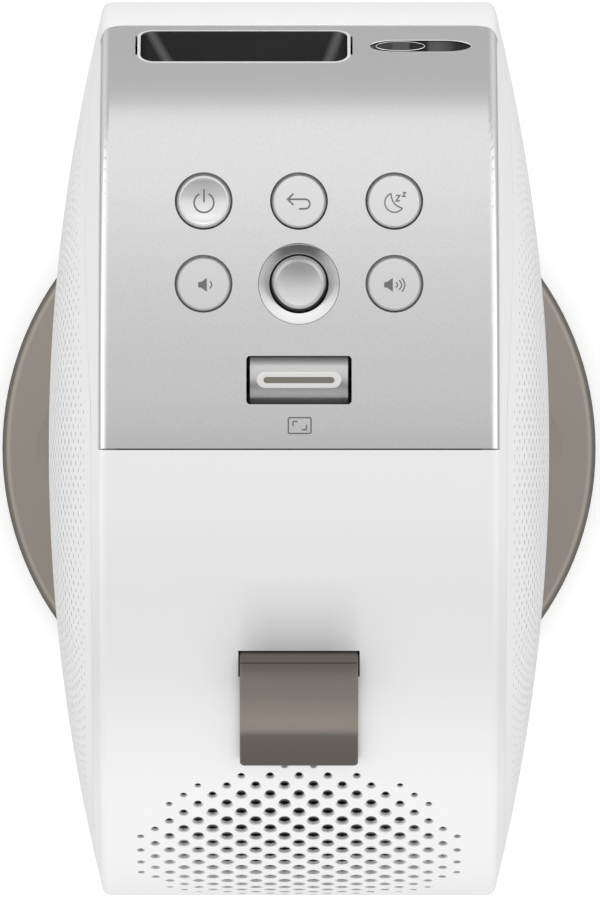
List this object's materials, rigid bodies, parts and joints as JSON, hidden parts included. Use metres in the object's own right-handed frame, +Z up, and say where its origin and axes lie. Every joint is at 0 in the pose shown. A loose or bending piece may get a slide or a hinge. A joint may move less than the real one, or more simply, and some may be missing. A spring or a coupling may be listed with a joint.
{
  "type": "portable projector",
  "caption": "Portable drum projector that tilts on a round magnetic base: metallic control panel with buttons, joystick and rocker, pull tab, rear speaker grille.",
  "frame": {"origin": "on the table, under the middle of the base", "axes": "+Z up, -Y the way the lens looks, X along the drum's axis with +X to the left of someone looking the lens's way"},
  "size_m": [0.1254, 0.185, 0.1954],
  "materials": {
    "white_shell": "fine satin moulding",
    "panel_metal": "fine bead-blasted, clear coated",
    "cap_metal": "metallic paint",
    "bright_metal": "turned, satin",
    "black_glass": "polished",
    "clear_lens": "coated, polished",
    "taupe_shell": "satin",
    "taupe_plastic": "satin",
    "taupe_rubber": "fine matt",
    "pale_plastic": "satin",
    "black_rubber": "matt",
    "black_plastic": "matt",
    "board_green": "solder mask",
    "cast_metal": "cast",
    "steel": "zinc plated",
    "cell_wrap": "shrink wrap",
    "black_cloth": "woven",
    "speaker_metal": "coated"
  },
  "bodies": {
    "base": {"base_shell": "taupe_shell", "base_bottom_cover": "black_plastic", "base_foot_ring": "black_rubber", "base_ballast": "steel", "base_magnets": "steel", "base_screws": "steel"},
    "drum": {"upper_housing": "white_shell", "grille_cloth": "black_cloth", "lower_housing": "white_shell", "side_cover_left": "white_shell", "side_cover_right": "white_shell", "control_panel": "panel_metal", "joystick_ring": "bright_metal", "rocker_cradle": "black_plastic", "rocker_axle": "steel", "tab_pin": "steel", "lens_bezel": "bright_metal", "lens_window_glass": "black_glass", "sensor_window": "black_glass", "sensor_lens": "black_glass", "camera_block": "black_plastic", "light_engine_housing": "cast_metal", "lens_barrel": "black_plastic", "front_lens": "clear_lens", "focus_motor": "steel", "chassis_plate": "cast_metal", "button_board": "board_green", "tact_switches": "black_plastic", "main_board": "board_green", "board_standoffs": "steel", "battery_pack": "cell_wrap", "heat_sink": "cast_metal", "fan_frame": "black_plastic", "rear_speaker": "speaker_metal", "side_speaker_left": "speaker_metal", "side_speaker_right": "speaker_metal", "keeper_strips": "steel", "port_panel": "black_plastic", "port_board": "board_green", "audio_jack": "black_plastic", "hdmi_socket": "steel", "usb_a_socket": "steel", "usb_c_socket": "steel"},
    "joystick_post": {"joystick_post": "black_plastic"},
    "joystick_cross": {"joystick_cross": "steel"},
    "joystick_cap": {"joystick_cap": "bright_metal"},
    "focus_rocker": {"focus_rocker": "cap_metal", "rocker_rib": "pale_plastic", "rocker_inlay": "taupe_plastic"},
    "pull_tab": {"pull_tab": "taupe_rubber"},
    "focus_ring": {"focus_ring": "black_plastic"},
    "focus_pinion": {"focus_pinion": "steel"},
    "fan_rotor": {"fan_rotor": "black_plastic"},
    "power_button": {"power_button": "cap_metal"},
    "return_button": {"return_button": "cap_metal"},
    "sleep_button": {"sleep_button": "cap_metal"},
    "volume_down_button": {"volume_down_button": "cap_metal"},
    "volume_up_button": {"volume_up_button": "cap_metal"}
  },
  "joints": [
    {"name": "drum_tilt", "type": "hinge", "parent": "base", "child": "drum", "pos_m": [0, 0, 0.1029], "axis": [-1, 0, 0], "range_deg": [-26, 64]},
    {"name": "power_button_press", "type": "slide", "parent": "drum", "child": "power_button", "axis": [0, 0, -1], "range_m": [0, 0.0005], "stiffness_N_per_m": 1500},
    {"name": "return_button_press", "type": "slide", "parent": "drum", "child": "return_button", "axis": [0, 0, -1], "range_m": [0, 0.0005], "stiffness_N_per_m": 1500},
    {"name": "sleep_button_press", "type": "slide", "parent": "drum", "child": "sleep_button", "axis": [0, 0, -1], "range_m": [0, 0.0005], "stiffness_N_per_m": 1500},
    {"name": "volume_down_button_press", "type": "slide", "parent": "drum", "child": "volume_down_button", "axis": [0, 0, -1], "range_m": [0, 0.0005], "stiffness_N_per_m": 1500},
    {"name": "volume_up_button_press", "type": "slide", "parent": "drum", "child": "volume_up_button", "axis": [0, 0, -1], "range_m": [0, 0.0005], "stiffness_N_per_m": 1500},
    {"name": "joystick_press", "type": "slide", "parent": "drum", "child": "joystick_post", "axis": [0, 0, -1], "range_m": [0, 0.0005], "stiffness_N_per_m": 1500},
    {"name": "joystick_tilt_front", "type": "hinge", "parent": "joystick_post", "child": "joystick_cross", "pos_m": [0, -0.0335, 0.18622], "axis": [1, 0, 0], "range_deg": [-8, 8], "stiffness_Nm_per_rad": 0.03},
    {"name": "joystick_tilt_side", "type": "hinge", "parent": "joystick_cross", "child": "joystick_cap", "pos_m": [0, -0.0335, 0.18622], "axis": [0, 1, 0], "range_deg": [-8, 8], "stiffness_Nm_per_rad": 0.03},
    {"name": "focus_rocker_tilt", "type": "hinge", "parent": "drum", "child": "focus_rocker", "pos_m": [0, -0.0139, 0.18665], "axis": [1, 0, 0], "range_deg": [-12, 12], "stiffness_Nm_per_rad": 0.06},
    {"name": "pull_tab_lift", "type": "hinge", "parent": "drum", "child": "pull_tab", "pos_m": [0, 0.04312, 0.18315], "axis": [1, 0, 0], "range_deg": [0, 60]},
    {"name": "focus_ring_turn", "type": "hinge", "parent": "drum", "child": "focus_ring", "pos_m": [0.0113, -0.05374, 0.12958], "axis": [0, -0.8957, 0.4446], "range_deg": [-45, 45]},
    {"name": "focus_pinion_turn", "type": "hinge", "parent": "drum", "child": "focus_pinion", "pos_m": [0.03209, -0.05908, 0.11883], "axis": [0, -0.8957, 0.4446], "range_deg": [-140, 140]},
    {"name": "fan_spin", "type": "hinge", "parent": "drum", "child": "fan_rotor", "pos_m": [0.025, 0.032, 0.0949], "axis": [1, 0, 0], "continuous": true}
  ],
  "couplings": [
    {"joint": "focus_pinion_turn", "follows": "focus_ring_turn", "ratio": -3}
  ]
}
